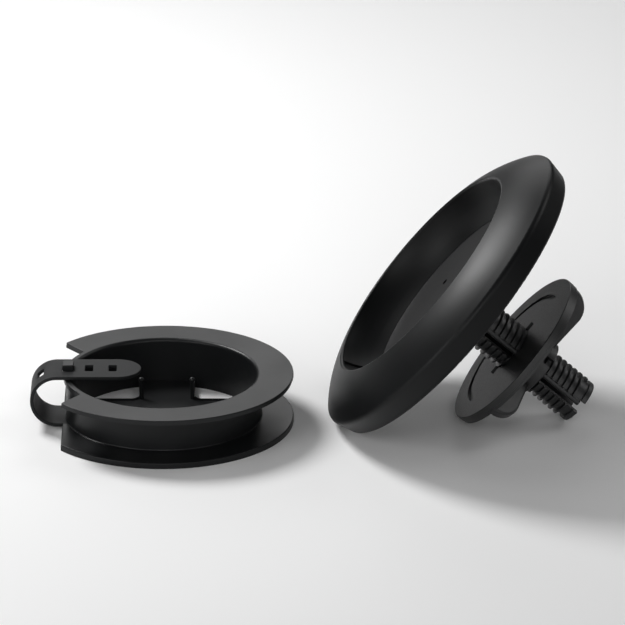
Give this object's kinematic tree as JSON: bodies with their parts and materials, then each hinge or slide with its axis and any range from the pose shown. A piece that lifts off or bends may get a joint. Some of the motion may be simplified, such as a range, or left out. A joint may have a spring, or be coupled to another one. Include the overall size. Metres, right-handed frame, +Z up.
{
  "type": "desk grommet",
  "caption": "Round table mount with a bowl-shaped bezel, hollow threaded stud and wing nut, shown with a flanged cable spool that has a button-on strap.",
  "frame": {"origin": "on the spool's axis, at the table top that both pieces lie on", "axes": "+Z up; +X from the spool towards the mount; -Y towards the viewer"},
  "size_m": [0.2442, 0.1464, 0.1155],
  "materials": {
    "spool_plastic": "satin black moulded plastic",
    "strap_rubber": "smooth black rubber",
    "bezel_plastic": "fine satin black",
    "floor_rubber": "matt black",
    "clamp_plastic": "matt black moulded plastic",
    "pad_foam": "matt black foam rubber"
  },
  "bodies": {
    "mount": {"bezel_shell": "bezel_plastic", "floor_plate": "floor_rubber", "base_plate": "clamp_plastic", "desk_pad": "pad_foam", "threaded_stud": "clamp_plastic"},
    "washer": {"clamp_washer": "clamp_plastic"},
    "nut": {"wing_nut": "clamp_plastic"},
    "spool": {"spool_body": "spool_plastic", "top_flange": "spool_plastic", "strap_root": "strap_rubber"},
    "strap": {"strap_tail": "strap_rubber"}
  },
  "joints": [
    {"name": "washer_slide", "type": "slide", "parent": "mount", "child": "washer", "axis": [-0.7568, 0, 0.6537], "range_m": [-0.0181, 0.0271]},
    {"name": "nut_spin", "type": "hinge", "parent": "washer", "child": "nut", "pos_m": [0.15369, 0.0024, 0.03025], "axis": [-0.7568, 0, 0.6537], "range_deg": [-2160, 3240]},
    {"name": "spool_lift", "type": "slide", "parent": "mount", "child": "spool", "axis": [0, 0, 1], "range_m": [0, 0.1]},
    {"name": "strap_flex", "type": "hinge", "parent": "spool", "child": "strap", "pos_m": [-0.04989, 0, 0.0228], "axis": [0, -1, 0], "range_deg": [0, 75]}
  ],
  "couplings": [
    {"joint": "washer_slide", "follows": "nut_spin", "m_per_rad": 0.00047746}
  ]
}
